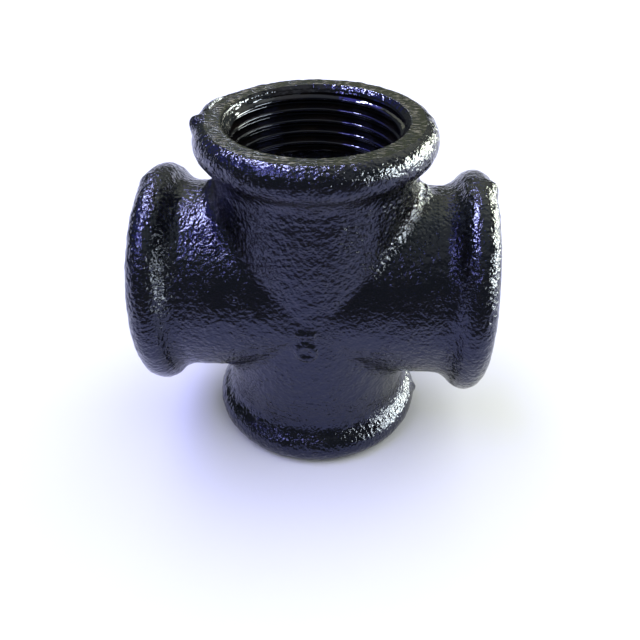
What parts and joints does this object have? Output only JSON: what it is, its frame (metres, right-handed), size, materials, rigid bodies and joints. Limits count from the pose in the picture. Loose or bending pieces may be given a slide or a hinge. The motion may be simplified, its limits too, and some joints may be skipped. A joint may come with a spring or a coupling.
{
  "type": "pipe cross fitting",
  "caption": "Four-way pipe cross in black lacquered cast iron, with a beaded female threaded outlet on each arm, for joining pipes at right angles in one plane.",
  "frame": {"origin": "the point where the axes of the outlets cross, which is the centre of the fitting", "axes": "+Z along the run out of the top outlet, +X along the branch out of the right outlet, +Y to the back, away from the cast mark"},
  "size_m": [0.068, 0.0446, 0.068],
  "materials": {
    "black_lacquer": "glossy black lacquer over a rough sand-cast skin"
  },
  "bodies": {
    "root": {"centre_hub": "black_lacquer", "top_socket": "black_lacquer", "bottom_socket": "black_lacquer", "left_socket": "black_lacquer", "right_socket": "black_lacquer"}
  },
  "joints": []
}
